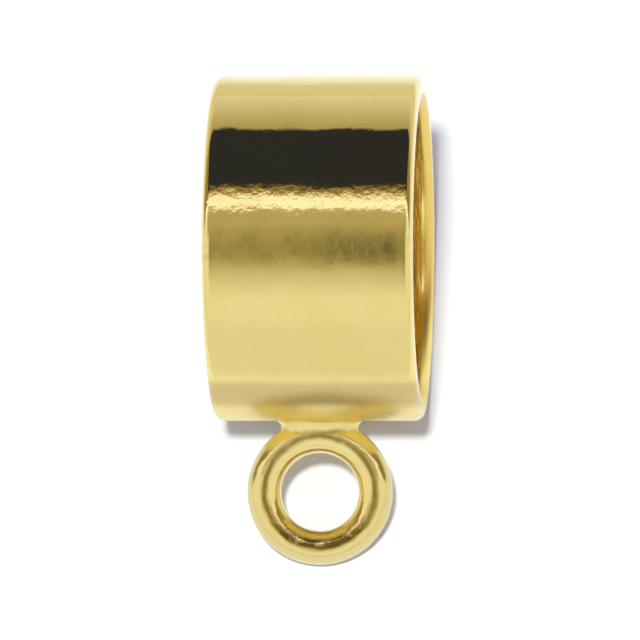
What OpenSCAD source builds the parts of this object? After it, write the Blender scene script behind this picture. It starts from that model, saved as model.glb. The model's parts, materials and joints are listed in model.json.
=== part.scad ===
// Cord connector: a short plain band that a cord passes through, with a small closed
// loop soldered to it for a pendant or a jump ring. Band, loop and solder are plated as
// one piece of metal.
// The band's axis is X and the origin is the middle of its bore. The connector lies on
// its side as it would on a table: the band's wall and the loop touch the same plane.

/* [Band] */
// Outer diameter of the band
band_od = 10; // [9:0.5:16]
// Thickness of the band's wall
band_wall = 0.8; // [0.8:0.05:1.2]
// Length of the band along the cord
band_length = 6; // [5:0.5:12]
// Rounding radius of both edges of the band's rims, less than half the wall
rim_round = 0.24; // [0.1:0.02:0.38]

/* [Loop] */
// Inner diameter of the loop's eye
eye_d = 2.25; // [1.5:0.25:3]
// Width of the loop's wire, measured in the plane of the loop
wire_width = 0.98; // [0.96:0.02:1.2]
// Thickness of the loop's wire, measured across the plane of the loop
wire_thickness = 1.05; // [0.96:0.01:1.2]
// Rounding radius of the wire's section, nearly half the wire
wire_round = 0.46; // [0.2:0.02:0.46]
// Depth that the loop's wire is let into the band's wall
seat_depth = 0.05; // [0.02:0.01:0.2]

/* [Solder] */
// Radius of the solder's hollow between the band and the loop
solder_fillet = 0.18; // [0.1:0.02:0.24]
// Thickness of the solder across the plane of the loop
solder_thickness = 0.94; // [0.84:0.02:0.96]
// Rounding radius of the solder's two ends, seen along the loop's direction
solder_round = 0.4; // [0.1:0.02:0.4]

/* [Hidden] */
$fn = 144;
plate_color = [0.86, 0.72, 0.38];

band_r = band_od / 2;
bore_r = band_r - band_wall;

eye_r = eye_d / 2;
loop_outer_r = eye_r + wire_width;
loop_mean_r = eye_r + wire_width / 2;
// Distance from the band's axis to the middle of the eye
loop_centre = band_r - seat_depth + loop_outer_r;

// Half of the straight stretch that the rounding leaves on each side of the wire
wire_flat_in_plane = wire_width / 2 - wire_round;
wire_flat_across = wire_thickness / 2 - wire_round;

// The loop hangs below the horizontal by the angle at which its lowest point is level with
// the band's: reach * sin(angle) + wire_flat_across * cos(angle) = drop
reach = loop_centre + loop_mean_r + wire_flat_in_plane;
drop = band_r - wire_round;
rest_angle = asin(drop / norm([reach, wire_flat_across])) - atan2(wire_flat_across, reach);

// Centre of the circle that touches both the band's wall and the loop from outside
fillet_y = band_r + solder_fillet;
fillet_x = sqrt(pow(loop_outer_r + solder_fillet, 2) - pow(loop_centre - fillet_y, 2));
// Where that circle touches the loop
touch_share = loop_outer_r / (loop_outer_r + solder_fillet);
touch_x = fillet_x * touch_share;
touch_y = loop_centre - (loop_centre - fillet_y) * touch_share;
// Distance from the band's axis to the solder's root in the band's wall
solder_root = band_r - band_wall / 2;

// A rectangle about the origin with all four corners rounded by true arcs
module rounded_section(width, height, round) {
    square([width - 2 * round, height], center = true);
    square([width, height - 2 * round], center = true);
    for (side = [-1, 1], end = [-1, 1])
        translate([side * (width / 2 - round), end * (height / 2 - round)])
            circle(r = round);
}

// The band: its wall's section turned about the X axis
module band() {
    color(plate_color)
        rotate([0, 90, 0])
            rotate_extrude()
                translate([(band_r + bore_r) / 2, 0])
                    rounded_section(band_wall, band_length, rim_round);
}

// The loop: its wire's section turned about the middle of the eye
module loop() {
    color(plate_color)
        translate([0, -loop_centre, 0])
            rotate_extrude()
                translate([loop_mean_r, 0])
                    rounded_section(wire_width, wire_thickness, wire_round);
}

// The solder's outline in the plane of the loop: it fills the two corners between the
// band and the loop, with a hollow curve on each side
module solder_outline() {
    difference() {
        polygon([
            [-fillet_x, -solder_root],
            [fillet_x, -solder_root],
            [fillet_x, -fillet_y],
            [touch_x, -touch_y],
            [-touch_x, -touch_y],
            [-fillet_x, -fillet_y]
        ]);
        for (side = [-1, 1])
            translate([side * fillet_x, -fillet_y])
                circle(r = solder_fillet);
    }
}

// The solder: its outline given a thickness, with both ends rounded, rooted in the middle
// of the band's wall
module solder() {
    color(plate_color)
        intersection() {
            linear_extrude(height = solder_thickness, center = true)
                solder_outline();
            rotate([90, 0, 0])
                linear_extrude(height = touch_y + wire_width)
                    rounded_section(2 * fillet_x, solder_thickness, solder_round);
        }
}

// The whole connector, turned about the band's axis until it lies at rest
module band_with_loop() {
    rotate([rest_angle, 0, 0])
        union() {
            band();
            loop();
            solder();
        }
}

band_with_loop();
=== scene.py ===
"""Cord connector: a gold-plated band with a small wire loop, on a pale floor in a white tent."""

import json
import math
from typing import NamedTuple

import bmesh
import bpy
import numpy as np
from bpy.props import FloatProperty, FloatVectorProperty, IntProperty, PointerProperty
from mathutils import Matrix, Vector


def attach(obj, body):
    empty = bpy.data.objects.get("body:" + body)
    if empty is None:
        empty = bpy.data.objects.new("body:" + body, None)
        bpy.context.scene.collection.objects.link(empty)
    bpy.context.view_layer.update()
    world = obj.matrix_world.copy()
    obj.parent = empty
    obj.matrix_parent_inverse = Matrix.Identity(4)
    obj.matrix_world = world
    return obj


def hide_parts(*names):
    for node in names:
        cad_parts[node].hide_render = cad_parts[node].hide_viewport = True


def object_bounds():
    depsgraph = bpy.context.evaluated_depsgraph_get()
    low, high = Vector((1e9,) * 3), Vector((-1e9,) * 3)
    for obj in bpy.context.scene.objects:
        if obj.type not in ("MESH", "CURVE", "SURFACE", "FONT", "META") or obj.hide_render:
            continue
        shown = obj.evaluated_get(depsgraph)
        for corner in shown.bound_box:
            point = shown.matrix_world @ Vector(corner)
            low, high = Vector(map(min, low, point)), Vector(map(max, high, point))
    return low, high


bl_info = {
    "name": "Cord connector",
    "version": (1, 0, 0),
    "blender": (4, 5, 0),
    "location": "3D View > Sidebar > Connector",
    "description": "Turns a band, bends a loop, solders and plates them, and lights them in a tent",
    "category": "Add Mesh",
}

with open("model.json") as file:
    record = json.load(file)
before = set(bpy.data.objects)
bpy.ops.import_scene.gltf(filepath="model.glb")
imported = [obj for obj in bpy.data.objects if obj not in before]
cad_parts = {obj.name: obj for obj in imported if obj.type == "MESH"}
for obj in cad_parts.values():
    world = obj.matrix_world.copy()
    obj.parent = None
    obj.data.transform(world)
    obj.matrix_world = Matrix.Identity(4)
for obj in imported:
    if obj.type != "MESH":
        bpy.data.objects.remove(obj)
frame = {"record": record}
cad_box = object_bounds()

MM = 0.001
PIECE = "soldered_connector"
BAND = "band"
LOOP = "loop"
NODE = "band_with_loop"
MOUNTS = {mount["name"]: mount for mount in frame["record"]["mounts"]}
BORE = MOUNTS["cord_bore"]["dims"]
EYE = MOUNTS["loop_eye"]["dims"]
BAND_LENGTH = cad_box[1].x - cad_box[0].x
FLOOR_HEIGHT = cad_box[0].z

# The connector's own directions, along the band, square to the loop and out to the eye's middle
BAND_AXIS = Vector(MOUNTS["cord_bore"]["axis"])
LOOP_AXIS = Vector(MOUNTS["loop_eye"]["axis"])
EYE_CENTRE = Vector(MOUNTS["loop_eye"]["pos_m"])
LOOP_REACH = EYE_CENTRE.normalized()


# Sizes, finishes and lights that a user may change

LEAST_LENGTH = 0.05 * MM


def length_property(name, description, default, least=LEAST_LENGTH):
    """A length in metres, shown to the hundredth of a millimetre."""
    return FloatProperty(name=name, description=description, default=default, min=least,
                         precision=5, unit="LENGTH")


def count_property(name, description, default, least):
    """A whole number."""
    return IntProperty(name=name, description=description, default=default, min=least)


def colour_property(name, description, default):
    """A colour."""
    return FloatVectorProperty(name=name, description=description, default=default, min=0, max=1,
                               subtype="COLOR")


def angle_property(name, description, degrees):
    """An angle."""
    return FloatProperty(name=name, description=description, default=math.radians(degrees),
                         subtype="ANGLE")


class ConnectorSizes(bpy.types.PropertyGroup):
    """Sizes of the band, the loop and the solder"""

    band_radius: length_property("Band radius", "Outer radius of the band", cad_box[1].z)
    band_length: length_property("Band length", "Length of the band along its axis", BAND_LENGTH)
    bore_radius: length_property(
        "Bore radius", "Radius of the hole for the cord", BORE["r_mm"] * MM)
    rim_round: length_property(
        "Rim rounding", "Radius that the band's rims are rounded to",
        (BAND_LENGTH - BORE["length_mm"] * MM) / 2)
    eye_radius: length_property("Eye radius", "Inner radius of the loop", EYE["r_mm"] * MM)
    wire_width: length_property(
        "Wire width", "Width of the wire in the plane of the loop", 0.98 * MM)
    wire_thickness: length_property(
        "Wire thickness", "Thickness of the wire across the loop", 1.05 * MM)
    wire_round: length_property(
        "Wire rounding", "Rounding radius of the wire's section", 0.485 * MM)
    fillet: length_property(
        "Solder fillet", "Radius of the solder's hollow at the loop's two sides", 0.18 * MM)
    face_fillet: length_property(
        "Solder face fillet", "Radius of its hollow in front and behind", 0.44 * MM)


class ConnectorMeshing(bpy.types.PropertyGroup):
    """How finely the metal is divided"""

    band_segments: count_property("Band segments", "Faces round the band", 256, 48)
    band_points: count_property(
        "Band section points", "Points round the section of the band's wall", 264, 24)
    loop_segments: count_property("Loop segments", "Faces round the loop", 176, 32)
    loop_points: count_property("Loop section points", "Points round the wire's section", 48, 12)
    solder_segments: count_property("Solder segments", "Faces round the solder", 160, 32)
    solder_rows: count_property("Solder rows", "Faces across the solder's hollow", 12, 3)


class PlateFinish(bpy.types.PropertyGroup):
    """Colour and polish of the gold plating"""

    gold: colour_property("Gold", "Colour of clean plating", (0.82, 0.685, 0.265))
    warm_gold: colour_property("Warm gold", "Colour of thin, warmer plating", (0.81, 0.655, 0.24))
    # Painted shade: darker gold low on the band, for the shaded floor that it reflects
    painted_shade_gold: colour_property(
        "Dull gold", "Colour of the plating below the band's side", (0.46, 0.33, 0.13))
    # Paler plating over the solder, which is also a painted highlight for the bright background
    # reflected through the loop's eye
    solder_gold: colour_property(
        "Solder's gold", "Colour of the plating over the solder", (0.90, 0.80, 0.38))
    # Painted reflection: brighter gold on the band by the solder, to lighten the loop's dark mirror
    # image there
    heated_gold: colour_property(
        "Heated gold", "Colour of the band's plating by the solder", (1.0, 0.79, 0.27))
    # Painted glow: brighter, deeper-coloured gold for light bounced round the bore, clearest on the
    # light line by its rims
    bore_gold: colour_property(
        "Bore's gold", "Colour of the plating just inside the rims", (1.0, 0.83, 0.28))
    # Painted shade deeper in the bore
    deep_gold: colour_property(
        "Deep gold", "Colour of the plating deeper in the bore", (0.80, 0.57, 0.14))
    # Painted reflection of shade: duller, greyer gold on the loop's outermost side
    belt_gold: colour_property(
        "Outer wire's gold", "Colour of the loop's outermost side", (0.50, 0.44, 0.24))
    # Painted reflection of the dark camera along the crest of the loop's wire
    painted_crest_reflection: colour_property(
        "Rubbed plating", "Colour of the rubbed crest of the loop's wire", (0.25, 0.16, 0.035))
    # Colour of the dark marks on the band's front
    dark_mark_colour: colour_property(
        "Smear", "Colour of the handling marks on the band", (0.38, 0.32, 0.125))
    roughness: FloatProperty(
        name="Roughness", description="Roughness of the polished metal", default=0.04,
        min=0, max=1)
    ripple_depth: length_property(
        "Ripple depth", "Depth of the ripples that the polishing leaves", 0.012 * MM, 0)
    wave_depth: length_property(
        "Wave depth", "Depth of the polish's soft unevenness", 0.020 * MM, 0)


class TentLight(bpy.types.PropertyGroup):
    """The white tent, its cards, the lamp, the floor and the camera"""

    tent: colour_property("Tent", "Colour of the white tent", (1.0, 1.0, 1.0))
    skirt: colour_property("Skirt", "Colour of the tent's foot", (0.945, 0.94, 0.92))
    strip: FloatVectorProperty(
        name="Lit strip", description="Colour of the bright strip below the card",
        default=(1.38, 1.31, 1.70), min=0, subtype="COLOR")
    dark_card: colour_property(
        "Dark card", "Colour of the card that hangs overhead", (0.030, 0.034, 0.062))
    card_frame: colour_property(
        "Card's frame", "Colour of the wood at the card's foot and ends", (0.37, 0.27, 0.12))
    wall: colour_property("Wall", "Colour of the room's wall behind the card", (0.50, 0.43, 0.28))
    opening: colour_property("Opening", "Colour of the tent round its opening", (0.62, 0.57, 0.43))
    hood: colour_property("Hood", "Colour of the hood above the camera", (0.58, 0.49, 0.34))
    lens: colour_property("Camera", "Colour of the camera in the opening", (0.37, 0.33, 0.185))
    key: FloatProperty(
        name="Key lamp", description="Strength of the lamp at the upper left", default=3.0, min=0)
    key_colour: colour_property("Key lamp's colour", "Colour of its light", (0.966, 1.0, 0.80))
    key_turn: angle_property("Key lamp's place", "Angle between the lamp and the camera", 11.0)
    key_spread: angle_property(
        "Key lamp's spread", "How wide the lamp looks from the connector", 5.5)
    floor: colour_property("Floor", "Colour of the floor under the connector", (0.77, 0.79, 1.0))
    # Painted shade: the floor darker at its front and far parts, outside a pool of light under the
    # connector
    front_floor_shade: colour_property(
        "Front floor", "Colour of the floor's front part", (0.655, 0.645, 0.75))
    far_floor_shade: colour_property("Far floor", "Colour of the floor's far part", (0.588, 0.56, 0.55))
    distance: length_property(
        "Camera distance", "From the camera to the connector", 280 * MM, 20 * MM)
    yaw: angle_property("Camera yaw", "Turn of the view towards the band's opening", 4.5)
    share: FloatProperty(
        name="Height in the picture",
        description="Share of the picture's height that the connector fills",
        default=0.765, min=0.1, max=1, subtype="FACTOR")


# Trees of nodes


class NodeBench:
    """Adds nodes to a tree from left to right and links them."""

    SPACING = 180

    def __init__(self, tree):
        self.tree = tree
        self.count = 0
        tree.nodes.clear()

    def put(self, socket, value):
        """Gives a socket a value, or links it to another node's socket."""
        if isinstance(value, bpy.types.NodeSocket):
            self.tree.links.new(value, socket)
        else:
            socket.default_value = value

    def add(self, kind, inputs=None, **settings):
        """Adds a node with its settings and inputs."""
        node = self.tree.nodes.new(kind)
        node.location = (self.count * self.SPACING, 0)
        self.count += 1
        for name, value in settings.items():
            setattr(node, name, value)
        for key, value in (inputs or {}).items():
            self.put(node.inputs[key], value)
        return node

    def math(self, operation, first, second=0.0, third=0.0, clamp=False):
        """One step of arithmetic on numbers."""
        values = {0: first, 1: second, 2: third}
        return self.add("ShaderNodeMath", values, operation=operation, use_clamp=clamp).outputs[0]

    def both(self, first, second):
        """How far a point belongs to two stretches at once."""
        return self.math("MULTIPLY", first, second)

    def vector_math(self, operation, first, second):
        """A node for one step of arithmetic on vectors."""
        return self.add("ShaderNodeVectorMath", {0: first, 1: second}, operation=operation)

    def vector(self, operation, first, second=(0.0, 0.0, 0.0)):
        """One step of arithmetic on vectors that gives a vector."""
        return self.vector_math(operation, first, second).outputs["Vector"]

    def measure(self, operation, first, second=(0.0, 0.0, 0.0)):
        """One step of arithmetic on vectors that gives a number."""
        return self.vector_math(operation, first, second).outputs["Value"]

    def ramp(self, value, start, end, low=0.0, high=1.0):
        """A smooth change from low at start to high at end."""
        values = {"Value": value, 1: start, 2: end, 3: low, 4: high}
        return self.add("ShaderNodeMapRange", values, interpolation_type="SMOOTHSTEP").outputs[0]

    def fall(self, value, start, end):
        """A smooth change from 1 at start to 0 at end."""
        return self.ramp(value, start, end, 1.0, 0.0)

    def window(self, value, start, end, soft, soft_end=None):
        """1 between start and end and 0 outside them, with soft edges of that width."""
        soft_end = soft_end or soft
        rise = self.ramp(value, start - soft / 2, start + soft / 2)
        fall = self.fall(value, end - soft_end / 2, end + soft_end / 2)
        return self.both(rise, fall)

    def noise(self, place, scale, detail=2.0, roughness=0.5):
        """Noise from 0 to 1 that is alike in all directions."""
        values = {"Vector": place, "Scale": scale, "Detail": detail, "Roughness": roughness}
        return self.add("ShaderNodeTexNoise", values).outputs[0]

    def lines(self, place, across, coarse, fine, detail=2.0, roughness=0.5):
        """Noise drawn out into lines: fine changes a millimetre across them, coarse along them."""
        values = {"Vector": place, "W": self.math("MULTIPLY", across, fine / coarse),
                  "Scale": coarse, "Detail": detail, "Roughness": roughness}
        return self.add("ShaderNodeTexNoise", values, noise_dimensions="4D").outputs[0]

    def about_zero(self, share):
        """Noise moved so that it goes from -0.5 to 0.5."""
        return self.math("SUBTRACT", share, 0.5)

    def mix(self, share, first, second):
        """A colour between first and second."""
        node = self.add("ShaderNodeMix", {0: share}, data_type="RGBA")
        self.put(node.inputs[6], first)
        self.put(node.inputs[7], second)
        return node.outputs[2]

    def split(self, vector):
        """The three numbers of a vector."""
        return self.add("ShaderNodeSeparateXYZ", {0: vector}).outputs


def opaque(colour):
    """A colour with full alpha, as a node's socket takes it."""
    return (*colour, 1.0)


# The gold plating

PLATE = "polished_gold_plating"

# Values that the plating reads at each point: 1 on the loop's wire, and 1 in the solder's hollow
WIRE = "wire"
SOLDER = "solder"

# Noise in the plating: its scale for millimetres, its detail and its roughness, and for some kinds
# the values between which it comes to show
WAVES = (0.7, 1.0)
LUMPS = (2.4, 1.0, 0.4)
RIPPLES = (3.4, 2.0, 0.6)
GRAIN = (9.0, 3.0, 0.6)
WANDERING = (1.5, 2.0)
PATCHES = (0.55, 3.0, 0.6)
PATCHES_SHOW = (0.40, 0.66)
# Noise of the painted dark reflection along the wire's crest
CREST_REFLECTION_NOISE = (2.6, 3.0, 0.65)
CREST_REFLECTION_SHOWS = (0.30, 0.50)
BLOTS = (1.9, 4.0, 0.65)
BLOTS_SHOW = (0.50, 0.66)
HAZE = (1.8, 4.0, 0.6)
HAZE_SHOWS = (0.35, 0.75)

# Noise drawn out into lines: its scale along and across them, its detail and its roughness
TURNED_LINES = (0.6, 6.0, 3.0, 0.55)
STROKES = (1.2, 3.6, 3.0, 0.6)
STROKES_SHOW = (0.34, 0.68)
STROKE_SHARES = (0.25, 0.80)

# Heights of the relief as shares of the ripple depth: the ripples everywhere, what the strip and
# the marked stretch add to them, the turned lines and what the bore adds to them, and the rest
RIPPLE_HEIGHT = 0.18
STRIP_RIPPLE_HEIGHT = 0.55
MARKED_RIPPLE_HEIGHT = 0.5
LINE_HEIGHT = 0.10
BORE_LINE_HEIGHT = 1.5
LUMP_HEIGHT = 2.0
GRAIN_HEIGHT = 1.2
STEP_DROP = 1.4

# The blots of the dark marks: their heights on the band in millimetres, and their strength
BLOT_HEIGHTS = (-0.45, 0.45, 0.5)
BLOT_SHARE = 0.30

# The painted shade low on the band, for the shaded floor that it reflects: its strength, and how
# much of that the solder takes away
PAINTED_SHADE_SHARE = 0.65
SOLDER_LIFTS_SHADE = 1.3

# Golds laid over the clean plating and its painted shade in turn: the stretch, its colour and its
# cover.
# The solder's gold is paler plating and also a painted highlight; the rest are painted light and
# shade
GOLD_LAYERS = (
    ("solder", "solder_gold", 0.35),
    ("heated", "heated_gold", 0.7),
    ("inside", "bore_gold", 0.9),
    ("deep", "deep_gold", 0.9),
    ("belt", "belt_gold", 0.45),
)

# What the haze and each stretch add to the roughness
HAZE_ROUGHNESS = 0.03
ADDED_ROUGHNESS = (
    ("smears", 0.10),
    ("inside", 0.14),
    ("inner_edge", 0.20),
    ("wire", 0.09),
    ("foot", 0.16),
    ("solder", 0.08),
    ("by_joint", 0.26),
)


class PlatePlaces:
    """Where a point of the plating lies, in millimetres, and how far it belongs to each stretch.

    Heights are counted upwards in the picture from the bore's axis. A stretch has the two places
    between which it fades, or its start, its end and how wide its soft edges are.
    """

    # Distances from the loop's plane towards the camera
    FRONT = (3.5, 4.5)
    # Distances outwards from the bore's wall
    BORE_WALL = (0.18, 0.42)
    # Distances from the band's middle along it, inside the bore
    # The light line is where the bore's painted glow shows without its painted shade
    LIGHT_LINE = (2.58, 2.76, 0.10)
    INNER_EDGE = (2.68, 2.80)
    STEP = (2.64, 2.80)
    # Heights inside the bore, and the share of the bore's painted shade that is left at the lower
    # ones
    STEP_HEIGHTS = (-1.3, 1.4, 1.0)
    BORE_SHADE_HEIGHTS = (-2.6, -1.5)
    LOW_BORE_SHADE = 0.2
    # Heights on the outside of the band, and places along it for the marked stretch
    RIPPLED_HEIGHTS = (0.8, 1.9, 0.6)
    MARKED_HEIGHTS = (-0.40, 0.32, 0.6)
    MARKED_PLACES = (0.4, 2.6, 1.2, 0.3)
    JOINT_HEIGHTS = (-4.3, -3.7)
    # Heights of the painted shade low on the band
    PAINTED_SHADE_HEIGHTS = (-4.55, -3.85, 0.30)
    # The crest, which is the wire's side nearest to the camera: its distance from the eye's edge,
    # its width, how far its ring is moved towards the band and how far it wanders
    CREST = 0.46
    CREST_WIDTH = 0.09
    CREST_SHIFT = 0.05
    CREST_WANDER = 0.10
    # How strongly the crest is darkened with a painted reflection of the dark camera, and what its
    # foot adds to that and to its width
    CREST_REFLECTION = 0.38
    FOOT_REFLECTION = 0.60
    FOOT_WIDTH = 0.07
    FOOT_HEIGHTS = (-8.35, -7.7)
    # Distances outwards from the crest and from the eye's edge, the second for the belt that takes
    # painted shade
    BELOW_CREST = (-0.16, -0.04)
    BELT = (0.66, 0.92)

    def __init__(self, bench):
        own_place = bench.add("ShaderNodeTexCoord").outputs["Object"]
        self.place = bench.vector("MULTIPLY", own_place, (1 / MM, 1 / MM, 1 / MM))
        self.along_band = bench.measure("DOT_PRODUCT", self.place, BAND_AXIS)
        self.height = bench.measure("DOT_PRODUCT", self.place, -LOOP_REACH)
        self.radius = bench.measure("LENGTH", bench.vector("MULTIPLY", self.place, (0, 1, 1)))
        self.towards_camera = bench.measure("DOT_PRODUCT", self.place, LOOP_AXIS)
        self.front = bench.ramp(self.towards_camera, *self.FRONT)
        self.wire = bench.add("ShaderNodeAttribute", attribute_name=WIRE).outputs["Fac"]
        self.solder = bench.add("ShaderNodeAttribute", attribute_name=SOLDER).outputs["Fac"]
        self.on_band = bench.math("SUBTRACT", 1.0, self.wire)
        self.mark_bore(bench)
        self.mark_band(bench)
        self.mark_loop(bench)

    def mark_bore(self, bench):
        """The bore's wall, its deeper part that takes painted shade, the edge of its rims and the
        faint step beside it.
        """
        wall = [BORE["r_mm"] + outwards for outwards in self.BORE_WALL]
        self.inside = bench.fall(self.radius, *wall)
        from_middle = bench.math("ABSOLUTE", self.along_band)
        light_line = bench.window(from_middle, *self.LIGHT_LINE)
        # Painted shade in the bore, off the light line and weaker low down
        deep = bench.both(self.inside, bench.math("SUBTRACT", 1.0, light_line))
        self.deep = bench.both(deep, bench.ramp(self.height, *self.BORE_SHADE_HEIGHTS, self.LOW_BORE_SHADE))
        self.inner_edge = bench.both(self.inside, bench.ramp(from_middle, *self.INNER_EDGE))
        step = bench.both(self.inside, bench.ramp(from_middle, *self.STEP))
        self.step = bench.both(step, bench.window(self.height, *self.STEP_HEIGHTS))

    def mark_band(self, bench):
        """The stretches of the band's outside that are rippled and marked, the low one that takes
        painted shade, and the one by the solder that takes a painted reflection.
        """
        self.rippled = bench.both(bench.window(self.height, *self.RIPPLED_HEIGHTS), self.front)
        self.marked_stretch = bench.both(bench.window(self.height, *self.MARKED_HEIGHTS),
                                  bench.window(self.along_band, *self.MARKED_PLACES))
        self.by_joint = bench.both(bench.fall(self.height, *self.JOINT_HEIGHTS), self.on_band)
        # Painted shade low on the band
        self.painted_shade_stretch = bench.both(bench.window(self.height, *self.PAINTED_SHADE_HEIGHTS), self.on_band)
        # Painted reflection on the band by the solder
        self.heated = bench.both(self.solder, self.on_band)

    def mark_loop(self, bench):
        """The crest of the loop's wire with its painted dark reflection, the foot of the eye, and
        the loop's outer side with its painted shade.
        """
        ring_middle = EYE_CENTRE / MM - self.CREST_SHIFT * LOOP_REACH
        from_middle = bench.measure("LENGTH", bench.vector("SUBTRACT", self.place, ring_middle))
        squares = [bench.math("POWER", side, 2.0) for side in (from_middle, self.towards_camera)]
        wander = bench.math("MULTIPLY_ADD", bench.noise(self.place, *WANDERING),
                            2 * self.CREST_WANDER, -self.CREST_WANDER)
        from_axis = bench.math("SQRT", bench.math("SUBTRACT", *squares))
        from_axis = bench.math("ADD", from_axis, wander)
        crest = EYE["r_mm"] + self.CREST
        low = bench.fall(self.height, *self.FOOT_HEIGHTS)
        # The painted dark reflection along the crest, stronger and wider at the eye's foot
        from_crest = bench.math("ABSOLUTE", bench.math("SUBTRACT", from_axis, crest))
        from_crest = bench.math("MULTIPLY_ADD", low, -self.FOOT_WIDTH, from_crest)
        crest_reflection = bench.math("MULTIPLY_ADD", low, self.FOOT_REFLECTION, self.CREST_REFLECTION)
        crest_reflection = bench.both(bench.fall(from_crest, 0.0, self.CREST_WIDTH), crest_reflection)
        self.crest = bench.both(crest_reflection, self.wire)
        below_crest = [crest + outwards for outwards in self.BELOW_CREST]
        self.foot = bench.both(bench.both(bench.fall(from_axis, *below_crest), low), self.wire)
        # The loop's outer side, which takes painted shade
        belt = [EYE["r_mm"] + outwards for outwards in self.BELT]
        self.belt = bench.both(bench.ramp(from_axis, *belt), self.wire)


def plate_relief(bench, at, finish):
    """Ripples, fine lines, lumps, the grain at the eye's foot, the bore's step and soft waves."""
    across_band = bench.math("ADD", at.along_band, at.radius)
    ripples = bench.about_zero(bench.noise(at.place, *RIPPLES))
    uneven = bench.math("MULTIPLY_ADD", at.marked_stretch, MARKED_RIPPLE_HEIGHT, RIPPLE_HEIGHT)
    uneven = bench.math("MULTIPLY_ADD", at.rippled, STRIP_RIPPLE_HEIGHT, uneven)
    ripples = bench.math("MULTIPLY", ripples, uneven)
    lines = bench.about_zero(bench.lines(at.place, across_band, *TURNED_LINES))
    line_height = bench.math("MULTIPLY_ADD", at.inside, BORE_LINE_HEIGHT, LINE_HEIGHT)
    lines = bench.math("MULTIPLY", lines, line_height)
    lumps = bench.about_zero(bench.noise(at.place, *LUMPS))
    lumps = bench.math("MULTIPLY", lumps, bench.math("MAXIMUM", at.wire, at.solder))
    grain = bench.about_zero(bench.noise(at.place, *GRAIN))
    grain = bench.math("MULTIPLY", grain, at.foot)
    heights = bench.math("ADD", ripples, lines)
    heights = bench.math("ADD", heights, bench.math("MULTIPLY", lumps, LUMP_HEIGHT))
    heights = bench.math("MULTIPLY_ADD", grain, GRAIN_HEIGHT, heights)
    heights = bench.math("MULTIPLY_ADD", at.step, -STEP_DROP, heights)
    waves = bench.add("ShaderNodeBump", {
        "Height": bench.noise(at.place, *WAVES), "Distance": finish.wave_depth}).outputs[0]
    return bench.add("ShaderNodeBump", {
        "Height": heights, "Distance": finish.ripple_depth, "Normal": waves}).outputs[0]


def plate_dark_marks(bench, at):
    """The share of dark marks on the front of the band, most of them at its right."""
    strokes = bench.lines(at.place, at.along_band, *STROKES)
    strokes = bench.ramp(strokes, *STROKES_SHOW, *STROKE_SHARES)
    blots = bench.ramp(bench.noise(at.place, *BLOTS), *BLOTS_SHOW)
    blots = bench.both(blots, bench.window(at.height, *BLOT_HEIGHTS))
    blots = bench.math("MULTIPLY", blots, BLOT_SHARE)
    marks = bench.math("MULTIPLY_ADD", strokes, at.marked_stretch, blots)
    return bench.math("MULTIPLY", marks, at.front, clamp=True)


def gold_plate(finish):
    """Polished gold plating over brass."""
    material = bpy.data.materials.get(PLATE)
    if material:
        return material
    material = bpy.data.materials.new(PLATE)
    material.use_nodes = True
    bench = NodeBench(material.node_tree)
    at = PlatePlaces(bench)
    at.smears = plate_dark_marks(bench, at)

    patches = bench.ramp(bench.noise(at.place, *PATCHES), *PATCHES_SHOW)
    colour = bench.mix(patches, opaque(finish.gold), opaque(finish.warm_gold))
    # Painted shade low on the band, for the shaded floor that it reflects, lifted by the solder
    painted_shade_amount = bench.math("MULTIPLY_ADD", at.solder, -SOLDER_LIFTS_SHADE, PAINTED_SHADE_SHARE, clamp=True)
    colour = bench.mix(bench.both(at.painted_shade_stretch, painted_shade_amount), colour, opaque(finish.painted_shade_gold))
    colour = bench.mix(at.smears, colour, opaque(finish.dark_mark_colour))
    for stretch, gold, cover in GOLD_LAYERS:
        share = bench.math("MULTIPLY", getattr(at, stretch), cover)
        colour = bench.mix(share, colour, opaque(getattr(finish, gold)))
    # Painted reflection of the dark camera along the wire's crest
    painted_crest_reflection = bench.ramp(bench.noise(at.place, *CREST_REFLECTION_NOISE), *CREST_REFLECTION_SHOWS)
    colour = bench.mix(bench.both(painted_crest_reflection, at.crest), colour, opaque(finish.painted_crest_reflection))

    haze = bench.ramp(bench.noise(at.place, *HAZE), *HAZE_SHOWS, 0.0, HAZE_ROUGHNESS)
    roughness = bench.math("ADD", haze, finish.roughness)
    for stretch, added in ADDED_ROUGHNESS:
        roughness = bench.math("MULTIPLY_ADD", getattr(at, stretch), added, roughness)

    shader = bench.add("ShaderNodeBsdfPrincipled", {
        "Base Color": colour, "Metallic": 1.0, "Roughness": roughness,
        "Normal": plate_relief(bench, at, finish)})
    bench.add("ShaderNodeOutputMaterial", {"Surface": shader.outputs[0]})
    return material


# The two rings


class Ring:
    """A ring whose wall has a rectangular section with rounded corners."""

    def __init__(self, centre, axis, inner_radius, wall, length, corner):
        self.centre = np.array(centre)
        self.axis = np.array(axis)
        self.wall = wall
        self.length = length
        self.corner = corner
        self.mean_radius = inner_radius + wall / 2
        self.outer_radius = inner_radius + wall

    def from_core(self, points):
        """Vectors to points from the nearest place on the core that the corners are struck from."""
        offset = points - self.centre
        along = offset @ self.axis
        outward = offset - np.outer(along, self.axis)
        radius = np.linalg.norm(outward, axis=1)
        across = past_flat(radius - self.mean_radius, self.wall / 2 - self.corner)
        along = past_flat(along, self.length / 2 - self.corner)
        return (across / radius)[:, None] * outward + np.outer(along, self.axis)

    def normals(self, points):
        """Outward directions of the wall's surface at points on it."""
        return unit(self.from_core(points))


def past_flat(value, flat):
    """What is left of value past a flat stretch on both sides of zero."""
    return np.sign(value) * np.maximum(np.abs(value) - flat, 0)


def unit(vectors):
    """The same directions with length 1."""
    return vectors / np.linalg.norm(vectors, axis=1)[:, None]


def band_ring(sizes):
    """The band, round the bore's axis."""
    return Ring((0, 0, 0), BAND_AXIS, sizes.bore_radius, sizes.band_radius - sizes.bore_radius,
                sizes.band_length, sizes.rim_round)


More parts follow.
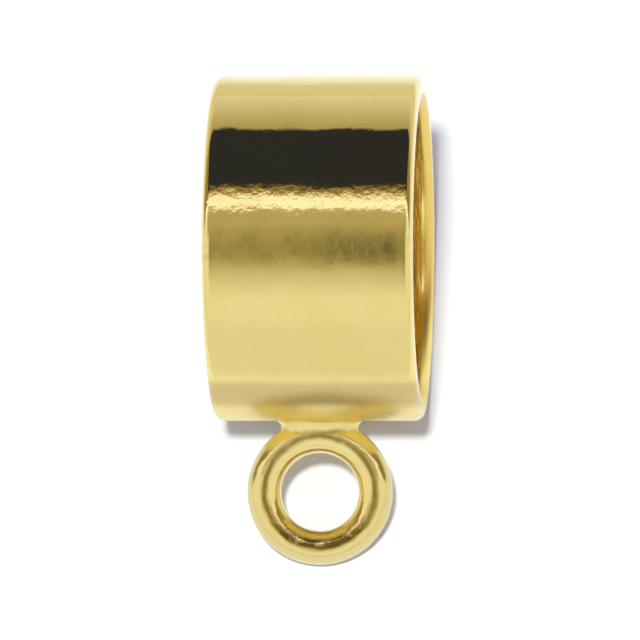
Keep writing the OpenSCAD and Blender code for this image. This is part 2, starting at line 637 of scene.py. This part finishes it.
def loop_ring(sizes):
    """The loop, round the eye's axis."""
    return Ring(EYE_CENTRE, LOOP_AXIS, sizes.eye_radius, sizes.wire_width, sizes.wire_thickness,
                sizes.wire_round)


SWEEP_TREE = "swept_ring"
SWEEP_INPUTS = {
    "Mean radius": "NodeSocketFloat",
    "Wall": "NodeSocketFloat",
    "Length": "NodeSocketFloat",
    "Corner": "NodeSocketFloat",
    "Segments": "NodeSocketInt",
    "Section points": "NodeSocketInt",
    "Centre": "NodeSocketVector",
    "Turn": "NodeSocketVector",
    "Plating": "NodeSocketMaterial",
}
# Points round each corner of the section, before its outline is divided evenly
CORNER_POINTS = 64


def swept_ring_tree():
    """Geometry Nodes that sweep a rectangle with rounded corners round a circle."""
    tree = bpy.data.node_groups.get(SWEEP_TREE)
    if tree:
        return tree
    tree = bpy.data.node_groups.new(SWEEP_TREE, "GeometryNodeTree")
    for name, kind in SWEEP_INPUTS.items():
        tree.interface.new_socket(name, in_out="INPUT", socket_type=kind)
    tree.interface.new_socket("Ring", in_out="OUTPUT", socket_type="NodeSocketGeometry")
    bench = NodeBench(tree)
    given = bench.add("NodeGroupInput").outputs
    path = bench.add("GeometryNodeCurvePrimitiveCircle", {
        "Resolution": given["Segments"], "Radius": given["Mean radius"]}).outputs[0]
    path = bench.add("GeometryNodeSetCurveNormal", {"Curve": path}, mode="Z_UP").outputs[0]
    section = bench.add("GeometryNodeCurvePrimitiveQuadrilateral", {
        "Width": given["Wall"], "Height": given["Length"]}).outputs[0]
    corners = {"Curve": section, "Count": CORNER_POINTS, "Radius": given["Corner"]}
    section = bench.add("GeometryNodeFilletCurve", corners, mode="POLY").outputs[0]
    points = {"Curve": section, "Count": given["Section points"]}
    section = bench.add("GeometryNodeResampleCurve", points, mode="COUNT").outputs[0]
    ring = bench.add("GeometryNodeCurveToMesh", {
        "Curve": path, "Profile Curve": section}).outputs[0]
    ring = bench.add("GeometryNodeTransform", {
        "Geometry": ring, "Translation": given["Centre"], "Rotation": given["Turn"]}).outputs[0]
    ring = bench.add("GeometryNodeRealizeInstances", {"Geometry": ring}).outputs[0]
    ring = bench.add("GeometryNodeSetMaterial", {
        "Geometry": ring, "Material": given["Plating"]}).outputs[0]
    bench.add("NodeGroupOutput", {"Ring": ring})
    return tree


def sweep(name, ring, segments, section_points, plating):
    """A ring as a plain mesh, made by the tree above."""
    tree = swept_ring_tree()
    values = {
        "Mean radius": ring.mean_radius,
        "Wall": ring.wall,
        "Length": ring.length,
        "Corner": ring.corner,
        "Segments": segments,
        "Section points": section_points,
        "Centre": ring.centre.tolist(),
        "Turn": list(Vector(ring.axis).to_track_quat("Z", "Y").to_euler()),
        "Plating": plating,
    }
    blank = bpy.data.objects.new(name, bpy.data.meshes.new(name + "_blank"))
    bpy.context.collection.objects.link(blank)
    modifier = blank.modifiers.new("Sweep", "NODES")
    modifier.node_group = tree
    for item in tree.interface.items_tree:
        if item.in_out == "INPUT":
            modifier[item.identifier] = values[item.name]
    swept = blank.evaluated_get(bpy.context.evaluated_depsgraph_get())
    mesh = bpy.data.meshes.new_from_object(swept)
    blank.modifiers.remove(modifier)
    blank.data = mesh
    mesh.name = name
    return blank


# The solder between them


class Joint:
    """The hollow that a ball leaves as it rolls round the corner between the band and the loop.

    The ball has the fillet's size at the loop's two sides, and grows to the face's size in front
    and behind.
    """

    BISECTIONS = 40

    def __init__(self, band, loop, fillet, face, steps):
        self.band, self.loop = band, loop
        turn = np.linspace(-math.pi, math.pi, steps, endpoint=False)
        self.ball = fillet + (face - fillet) * np.sin(turn) ** 2
        inside, outside = np.zeros(steps), np.full(steps, loop.outer_radius)
        for _ in range(self.BISECTIONS):
            middle = (inside + outside) / 2
            centre = self.over_band(middle, turn)
            clear = np.linalg.norm(loop.from_core(centre), axis=1) > loop.corner + self.ball
            outside = np.where(clear, middle, outside)
            inside = np.where(clear, inside, middle)
        self.centres = self.over_band(outside, turn)
        self.on_band = self.centres - self.ball[:, None] * band.normals(self.centres)
        self.on_loop = self.centres - self.ball[:, None] * loop.normals(self.centres)

    def over_band(self, spread, turn):
        """Places for the ball's centre: touching the band, spread out from the joint's middle."""
        height = self.band.outer_radius + self.ball
        across = spread * np.sin(turn)
        return (np.outer(spread * np.cos(turn), BAND_AXIS) + np.outer(across, LOOP_AXIS)
                + np.outer(np.sqrt(height ** 2 - across ** 2), LOOP_REACH))

    def plan(self, points):
        """Points seen along the joint's middle line, as an angle and a distance from it."""
        along, across = points @ np.array(BAND_AXIS), points @ np.array(LOOP_AXIS)
        return np.arctan2(across, along), np.hypot(along, across)

    def covers(self, points, normals, edge, facing, margin):
        """Which points of a wall lie within the solder's edge on it, or within margin of it."""
        angle, distance = self.plan(points)
        edge_angle, edge_distance = self.plan(edge)
        order = np.argsort(edge_angle)
        limit = np.interp(angle, edge_angle[order], edge_distance[order], period=2 * math.pi)
        near = np.linalg.norm(points - self.centres.mean(axis=0), axis=1) < self.loop.outer_radius
        return (distance < limit + margin) & near & (normals @ np.array(facing) > 0)

    def rows(self, count):
        """The solder's surface in rows between its edge on the band and its edge on the loop."""
        ball = self.ball[:, None]
        to_band = (self.on_band - self.centres) / ball
        to_loop = (self.on_loop - self.centres) / ball
        opening = np.arccos(np.clip((to_band * to_loop).sum(axis=1), -1, 1))[:, None]
        for share in np.linspace(0, 1, count + 1)[1:-1]:
            direction = np.sin((1 - share) * opening) * to_band + np.sin(share * opening) * to_loop
            yield self.centres + ball * direction / np.sin(opening)


def open_rim(wall):
    """The vertices of the one open edge of a wall, in order."""
    ahead = {}
    for vertex in wall:
        for corner in vertex.link_loops:
            if len(corner.edge.link_faces) == 1:
                ahead[vertex] = corner.link_loop_next.vert
    rim = [next(iter(ahead))]
    while ahead[rim[-1]] != rim[0]:
        rim.append(ahead[rim[-1]])
    if len(rim) != len(ahead):
        raise RuntimeError("the wall has more than one open edge where the solder joins it")
    return rim


def stitch(made, joint, *rims):
    """Closes the gap between two rims with triangles, each time across the shorter way."""
    sides = []
    for rim in rims:
        angles = joint.plan(np.array([vertex.co for vertex in rim]))[0]
        if np.median(np.diff(angles)) < 0:
            rim, angles = rim[::-1], angles[::-1]
        start = int(angles.argmin())
        sides.append(rim[start:] + rim[:start + 1])
    first, second = sides
    i = j = 0
    while i < len(first) - 1 or j < len(second) - 1:
        along_first = along_second = math.inf
        if i < len(first) - 1:
            along_first = (first[i + 1].co - second[j].co).length
        if j < len(second) - 1:
            along_second = (first[i].co - second[j + 1].co).length
        if along_first <= along_second:
            made.faces.new((first[i], first[i + 1], second[j]))
            i += 1
        else:
            made.faces.new((first[i], second[j + 1], second[j]))
            j += 1


# How far past the solder's edge a wall is cut away
CUT_MARGIN = 0.03 * MM
# How far from the solder's hollow the plating still shows it
SOLDER_REACH = 1.3 * MM


def open_wall(made, joint, mesh, ring, contact, facing):
    """Adds a ring's wall, opened where the solder covers it and stitched to the solder's edge.

    Gives the edge's vertices in order, and the normals of the edge and of the wall by vertex.
    """
    already = set(made.verts)
    made.from_mesh(mesh)
    wall = [vertex for vertex in made.verts if vertex not in already]
    points = np.array([vertex.co for vertex in wall])
    normals = ring.normals(points)
    covered = joint.covers(points, normals, contact, facing, CUT_MARGIN)
    kept = [vertex for vertex, gone in zip(wall, covered) if not gone]
    cut = [vertex for vertex, gone in zip(wall, covered) if gone]
    bmesh.ops.delete(made, geom=cut, context="VERTS")
    edge = [made.verts.new(point) for point in contact]
    stitch(made, joint, open_rim(kept), edge)
    return edge, dict(zip(kept + edge, [*normals[~covered], *ring.normals(contact)]))


def solder_together(name, sizes, meshing, band_mesh, loop_mesh):
    """One closed mesh: the band and the loop, opened where they meet, and the solder's hollow."""
    band, loop = band_ring(sizes), loop_ring(sizes)
    joint = Joint(band, loop, sizes.fillet, sizes.face_fillet, meshing.solder_segments)
    made = bmesh.new()
    band_edge, band_normals = open_wall(made, joint, band_mesh, band, joint.on_band, LOOP_REACH)
    loop_edge, loop_normals = open_wall(made, joint, loop_mesh, loop, joint.on_loop, -LOOP_REACH)
    inner_rows = [[made.verts.new(point) for point in row]
                  for row in joint.rows(meshing.solder_rows)]
    rows = [band_edge, *inner_rows, loop_edge]
    for row, next_row in zip(rows, rows[1:]):
        for i in range(len(row)):
            made.faces.new((row[i - 1], row[i], next_row[i], next_row[i - 1]))
    bmesh.ops.recalc_face_normals(made, faces=made.faces)
    for face in made.faces:
        face.smooth = True
    made.normal_update()

    wire_of = dict.fromkeys(band_normals, 0.0) | dict.fromkeys(loop_normals, 1.0)
    for step, row in enumerate(inner_rows, start=1):
        wire_of.update(dict.fromkeys(row, step / meshing.solder_rows))
    wire = [wire_of[vertex] for vertex in made.verts]
    wall_normals = band_normals | loop_normals
    normals = [tuple(wall_normals.get(vertex, vertex.normal)) for vertex in made.verts]
    points = np.array([vertex.co for vertex in made.verts])
    mesh = bpy.data.meshes.new(name)
    made.to_mesh(mesh)
    made.free()
    mesh.normals_split_custom_set_from_vertices(normals)
    for stretch, values in ((WIRE, wire), (SOLDER, nearness(points, joint))):
        mesh.attributes.new(stretch, "FLOAT", "POINT").data.foreach_set("value", values)
    return mesh


def nearness(points, joint):
    """1 in the solder's hollow, falling smoothly to 0 at the solder's reach from it."""
    values = np.zeros(len(points))
    from_joint = np.linalg.norm(points - joint.centres.mean(axis=0), axis=1)
    close = from_joint < 2 * joint.loop.outer_radius
    gaps = np.linalg.norm(points[close][:, None] - joint.centres[None], axis=2) - joint.ball
    share = np.clip(1 - gaps.min(axis=1) / SOLDER_REACH, 0, 1)
    values[close] = share * share * (3 - 2 * share)
    return values


# The stage: tent, lamp, floor and camera


class Sheet(NamedTuple):
    """An upright sheet of the tent and the widths of its soft edges, in degrees."""

    foot: float
    top: float
    half_width: float
    side_edge: float
    foot_edge: float
    top_edge: float


# Sheets above the camera. Their feet and tops are angles from the camera upwards.
HOOD = Sheet(8.0, 25.0, 35.0, side_edge=10.0, foot_edge=7.0, top_edge=7.0)
LIT_STRIP = Sheet(26.5, 32.6, 60.0, side_edge=20.0, foot_edge=5.0, top_edge=5.0)
CARD_FRAME = Sheet(35.3, 85.7, 80.0, side_edge=10.0, foot_edge=5.0, top_edge=2.5)
DARK_CARD = Sheet(40.0, 85.7, 35.0, side_edge=6.0, foot_edge=6.0, top_edge=2.5)
# Angles from the camera upwards between which the wall and the tent's foot fade, in degrees
WALL = (85.7, 131.0)
SKIRT = (-57.0, -44.0)
# Angles round the camera between which the camera and the opening fade, in degrees
LENS = (7.0, 20.0)
OPENING = (10.0, 38.0)

# The camera's sensor in millimetres and the floor's side in metres
SENSOR = 36.0
FLOOR_SIZE = 4.0
# Places from front to back between which the floor's painted shade at its front and far parts fades
# in
FRONT_FLOOR_SHADE = (-15 * MM, -10.5 * MM)
FAR_FLOOR_SHADE = (14 * MM, 34 * MM)
# The floor's mottle: its noise, the values between which it shows, its share and its darkness
MOTTLE = (60.0, 3.0)
MOTTLE_SHOWS = (0.3, 0.7)
MOTTLE_SHARE = 0.03
MOTTLE_TONE = 0.5
FLOOR_ROUGHNESS = 0.9
FLOOR_SHINE = 0.1
# How many times further the key lamp stands above the camera than to its left
KEY_RISE = 2


def camera_axes(light):
    """The camera's right, up and back directions: square to the loop, then turned by the yaw."""
    back = LOOP_AXIS * math.cos(light.yaw) + BAND_AXIS * math.sin(light.yaw)
    right = BAND_AXIS * math.cos(light.yaw) - LOOP_AXIS * math.sin(light.yaw)
    return right, -LOOP_REACH, back


def set_camera(context, light, sizes):
    """A long lens that frames the connector from the band's top to the loop's end."""
    top = sizes.band_radius
    bottom = -(EYE_CENTRE.length + sizes.eye_radius + sizes.wire_width)
    right, up, back = camera_axes(light)
    data = bpy.data.cameras.new("camera")
    data.sensor_width = SENSOR
    data.lens = SENSOR * light.distance * light.share / (top - bottom)
    data.clip_start, data.clip_end = light.distance / 100, FLOOR_SIZE * 2
    camera = bpy.data.objects.new("camera", data)
    place = Matrix.Translation(up * ((top + bottom) / 2) + back * light.distance)
    camera.matrix_world = place @ Matrix((right, up, back)).transposed().to_4x4()
    context.collection.objects.link(camera)
    context.scene.camera = camera


def hang_lamp(context, light):
    """A soft distant lamp up and left of the camera, which throws the shadow to the lower right."""
    right, up, back = camera_axes(light)
    sideways = (KEY_RISE * up - right).normalized()
    towards = back * math.cos(light.key_turn) + sideways * math.sin(light.key_turn)
    data = bpy.data.lights.new("key_lamp", "SUN")
    data.energy = light.key
    data.angle = light.key_spread
    data.color = light.key_colour
    lamp = bpy.data.objects.new("key_lamp", data)
    lamp.location = towards * light.distance
    lamp.rotation_euler = towards.to_track_quat("Z", "Y").to_euler()
    lamp.visible_glossy = False
    context.collection.objects.link(lamp)


def lay_floor(context, light):
    """A wide matt floor that the band and the loop touch, with painted shade at its front and far
    parts.
    """
    half = FLOOR_SIZE / 2
    mesh = bpy.data.meshes.new("floor")
    corners = ((-half, -half), (half, -half), (half, half), (-half, half))
    mesh.from_pydata([(x, y, FLOOR_HEIGHT) for x, y in corners], [], [(0, 1, 2, 3)])
    material = bpy.data.materials.new("pale_floor")
    material.use_nodes = True
    bench = NodeBench(material.node_tree)
    place = bench.add("ShaderNodeTexCoord").outputs["Object"]
    mottle = bench.ramp(bench.noise(place, *MOTTLE), *MOTTLE_SHOWS, 0.0, MOTTLE_SHARE)
    darker = tuple(MOTTLE_TONE * part for part in light.floor)
    colour = bench.mix(mottle, opaque(light.floor), opaque(darker))
    depth = bench.split(place)[1]
    # Painted shade on the floor's front and far parts, outside a pool of light under the connector
    colour = bench.mix(bench.fall(depth, *FRONT_FLOOR_SHADE), colour, opaque(light.front_floor_shade))
    colour = bench.mix(bench.ramp(depth, *FAR_FLOOR_SHADE), colour, opaque(light.far_floor_shade))
    shader = bench.add("ShaderNodeBsdfPrincipled", {
        "Base Color": colour, "Roughness": FLOOR_ROUGHNESS, "Specular IOR Level": FLOOR_SHINE})
    bench.add("ShaderNodeOutputMaterial", {"Surface": shader.outputs[0]})
    mesh.materials.append(material)
    floor = bpy.data.objects.new("floor", mesh)
    context.collection.objects.link(floor)


def raise_tent(context, light):
    """The white tent as the world, with its cards and the camera's opening set by direction."""
    world = bpy.data.worlds.new("white_tent")
    world.use_nodes = True
    bench = NodeBench(world.node_tree)
    direction = bench.add("ShaderNodeTexCoord").outputs["Generated"]
    up, back = -LOOP_REACH, camera_axes(light)[2]
    upwards = bench.measure("DOT_PRODUCT", direction, up)
    outwards = bench.measure("DOT_PRODUCT", direction, LOOP_AXIS)
    rise = bench.math("DEGREES", bench.math("ARCTAN2", upwards, outwards))
    sideways = bench.measure("DOT_PRODUCT", direction, BAND_AXIS)
    side = bench.math("DEGREES", bench.math("ARCSINE", sideways))
    towards_camera = bench.measure("DOT_PRODUCT", direction, back)
    from_camera = bench.math("DEGREES", bench.math("ARCCOSINE", towards_camera))

    def hang(sheet, behind, colour):
        """Hangs a sheet of a colour in front of what is behind it."""
        rows = bench.window(rise, sheet.foot, sheet.top, sheet.foot_edge, sheet.top_edge)
        columns = bench.window(side, -sheet.half_width, sheet.half_width, sheet.side_edge)
        return bench.mix(bench.both(rows, columns), behind, opaque(colour))

    below_top = bench.math("SUBTRACT", WALL[1], rise)
    below_top = bench.math("DIVIDE", below_top, WALL[1] - WALL[0], clamp=True)
    wall = bench.both(below_top, bench.math("GREATER_THAN", rise, WALL[0]))
    colour = bench.mix(wall, opaque(light.tent), opaque(light.wall))
    colour = bench.mix(bench.fall(rise, *SKIRT), colour, opaque(light.skirt))
    colour = bench.mix(bench.fall(from_camera, *OPENING), colour, opaque(light.opening))
    colour = hang(HOOD, colour, light.hood)
    colour = bench.mix(bench.fall(from_camera, *LENS), colour, opaque(light.lens))
    colour = hang(LIT_STRIP, colour, light.strip)
    colour = hang(CARD_FRAME, colour, light.card_frame)
    colour = hang(DARK_CARD, colour, light.dark_card)
    seen = bench.add("ShaderNodeLightPath").outputs["Is Camera Ray"]
    colour = bench.mix(seen, colour, opaque(light.tent))
    glow = bench.add("ShaderNodeBackground", {"Color": colour})
    bench.add("ShaderNodeOutputWorld", {"Surface": glow.outputs[0]})
    context.scene.world = world


# Operators, in the order of the work


class CONNECTOR_OT_turn_band(bpy.types.Operator):
    """Turns the band, a short tube whose rims have rounded edges"""

    bl_idname = "connector.turn_band"
    bl_label = "Turn band"

    def execute(self, context):
        scene = context.scene
        sweep(BAND, band_ring(scene.connector_sizes), scene.connector_meshing.band_segments,
              scene.connector_meshing.band_points, gold_plate(scene.connector_finish))
        return {"FINISHED"}


class CONNECTOR_OT_bend_loop(bpy.types.Operator):
    """Bends the loop, one closed ring of round wire"""

    bl_idname = "connector.bend_loop"
    bl_label = "Bend loop"

    def execute(self, context):
        scene = context.scene
        sweep(LOOP, loop_ring(scene.connector_sizes), scene.connector_meshing.loop_segments,
              scene.connector_meshing.loop_points, gold_plate(scene.connector_finish))
        return {"FINISHED"}


class CONNECTOR_OT_flow_solder(bpy.types.Operator):
    """Joins the band and the loop with solder into one piece of metal"""

    bl_idname = "connector.flow_solder"
    bl_label = "Flow solder"

    def execute(self, context):
        scene = context.scene
        band, loop = (bpy.data.objects[name] for name in (BAND, LOOP))
        mesh = solder_together(PIECE, scene.connector_sizes, scene.connector_meshing,
                               band.data, loop.data)
        mesh.materials.append(gold_plate(scene.connector_finish))
        for part in (band, loop):
            bpy.data.objects.remove(part)
        piece = bpy.data.objects.new(PIECE, mesh)
        context.collection.objects.link(piece)
        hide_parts(NODE)
        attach(piece, "root")
        return {"FINISHED"}


class CONNECTOR_OT_set_stage(bpy.types.Operator):
    """Sets up the white tent, the lamp, the floor and the camera"""

    bl_idname = "connector.set_stage"
    bl_label = "Set stage"

    def execute(self, context):
        light = context.scene.connector_light
        set_camera(context, light, context.scene.connector_sizes)
        hang_lamp(context, light)
        lay_floor(context, light)
        raise_tent(context, light)
        context.scene.view_settings.view_transform = "Standard"
        return {"FINISHED"}


class CONNECTOR_PT_bench(bpy.types.Panel):
    """Lists the steps that make the connector, and their settings"""

    bl_idname = "CONNECTOR_PT_bench"
    bl_label = "Cord connector"
    bl_space_type = "VIEW_3D"
    bl_region_type = "UI"
    bl_category = "Connector"

    def draw(self, context):
        for step in STEPS:
            self.layout.operator(step.bl_idname)
        for name, kind in GROUPS.items():
            column = self.layout.column()
            column.label(text=kind.__doc__)
            for setting in kind.__annotations__:
                column.prop(getattr(context.scene, name), setting)


GROUPS = {
    "connector_sizes": ConnectorSizes,
    "connector_meshing": ConnectorMeshing,
    "connector_finish": PlateFinish,
    "connector_light": TentLight,
}
STEPS = (
    CONNECTOR_OT_turn_band,
    CONNECTOR_OT_bend_loop,
    CONNECTOR_OT_flow_solder,
    CONNECTOR_OT_set_stage,
)


def register():
    """Makes the operators, the panel and the settings known."""
    for kind in (*GROUPS.values(), *STEPS, CONNECTOR_PT_bench):
        bpy.utils.register_class(kind)
    for name, kind in GROUPS.items():
        setattr(bpy.types.Scene, name, PointerProperty(type=kind))


def unregister():
    """Takes them away again."""
    for name in GROUPS:
        delattr(bpy.types.Scene, name)
    for kind in (CONNECTOR_PT_bench, *reversed(STEPS), *reversed(GROUPS.values())):
        bpy.utils.unregister_class(kind)


def main():
    """Makes the connector and its stage."""
    register()
    bpy.ops.connector.turn_band()
    bpy.ops.connector.bend_loop()
    bpy.ops.connector.flow_solder()
    bpy.ops.connector.set_stage()


if __name__ == "__main__":
    main()
